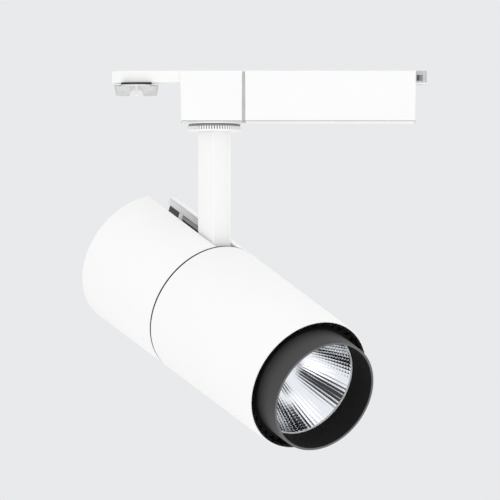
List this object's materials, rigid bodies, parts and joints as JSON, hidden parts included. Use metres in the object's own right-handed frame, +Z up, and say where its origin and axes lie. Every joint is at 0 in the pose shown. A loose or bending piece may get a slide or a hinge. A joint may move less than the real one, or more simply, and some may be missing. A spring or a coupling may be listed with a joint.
{
  "type": "track spotlight",
  "caption": "Round white track spotlight: a flat track adapter with driver box, a swivel arm and a drum lamp that tilts, with mirror reflector and black baffle tube.",
  "frame": {"origin": "on the vertical swivel axis, in the flat top face of the adapter that seats in the track", "axes": "+Z up out of the seat, +X along the track towards the contact stub, +Y away from the viewer"},
  "size_m": [0.2213, 0.2099, 0.2471],
  "materials": {
    "white_coat": "satin",
    "white_plastic": "satin",
    "clear_white_plastic": "satin",
    "black_coat": "matte",
    "black_plastic": "matte",
    "black_rubber": "matte",
    "grey_rubber": "matte",
    "dark_plastic": "matte",
    "grey_plastic": "matte",
    "steel": "satin",
    "black_steel": "satin",
    "contact_brass": "satin",
    "bush_bronze": "satin",
    "bare_aluminium": "satin",
    "mirror_metal": "polished",
    "circuit_laminate": "satin",
    "winding_tape": "satin",
    "capacitor_sleeve": "gloss",
    "copper_wire": "satin",
    "phosphor": "matte"
  },
  "bodies": {
    "adapter": {"adapter_bar": "white_coat", "swivel_box_cover": "white_plastic", "driver_box_cover": "white_plastic", "feed_through": "grey_rubber", "swivel_plate": "steel", "swivel_bush": "grey_plastic", "box_screws": "steel", "driver_circuit_board": "circuit_laminate", "driver_transformer": "winding_tape", "driver_capacitors": "capacitor_sleeve", "driver_inductor": "copper_wire", "input_terminal_block": "white_plastic", "board_screws": "steel", "contact_carrier": "black_plastic", "contact_springs": "contact_brass"},
    "lock_lever": {"lock_knob": "clear_white_plastic", "lock_shaft": "steel", "lock_blade": "black_steel", "lock_clip": "steel"},
    "arm": {"swivel_stem": "steel", "swivel_nut": "steel", "swivel_washer": "steel", "swivel_ring": "grey_plastic", "arm_flange": "white_coat", "arm_channel": "white_coat", "arm_cover": "white_coat", "arm_cover_screws": "steel", "pivot_bush": "bush_bronze"},
    "lamp": {"pivot_pin": "steel", "pivot_nut": "steel", "tilt_washers": "grey_plastic", "hinge_bracket": "black_coat", "bracket_screws": "steel", "rear_housing": "white_coat", "rear_cover": "white_coat", "slot_liner": "dark_plastic", "tie_screws": "steel", "seam_gasket": "black_rubber", "mid_plate": "bare_aluminium", "front_housing": "white_coat", "heat_sink": "bare_aluminium", "drum_screws": "steel", "led_board": "bare_aluminium", "led_emitter": "phosphor", "led_holder": "white_plastic", "reflector": "mirror_metal", "front_liner": "black_plastic", "anti_glare_baffle": "black_coat"}
  },
  "joints": [
    {"name": "lock_turn", "type": "hinge", "parent": "adapter", "child": "lock_lever", "pos_m": [-0.05, 0, 0], "axis": [0, 0, 1], "range_deg": [0, 90]},
    {"name": "arm_pan", "type": "hinge", "parent": "adapter", "child": "arm", "pos_m": [0, 0, 0], "axis": [0, 0, 1], "range_deg": [-175, 175]},
    {"name": "lamp_tilt", "type": "hinge", "parent": "arm", "child": "lamp", "pos_m": [0, 0, -0.1188], "axis": [0.788, 0.6157, 0], "range_deg": [-26.6, 63.4]}
  ]
}
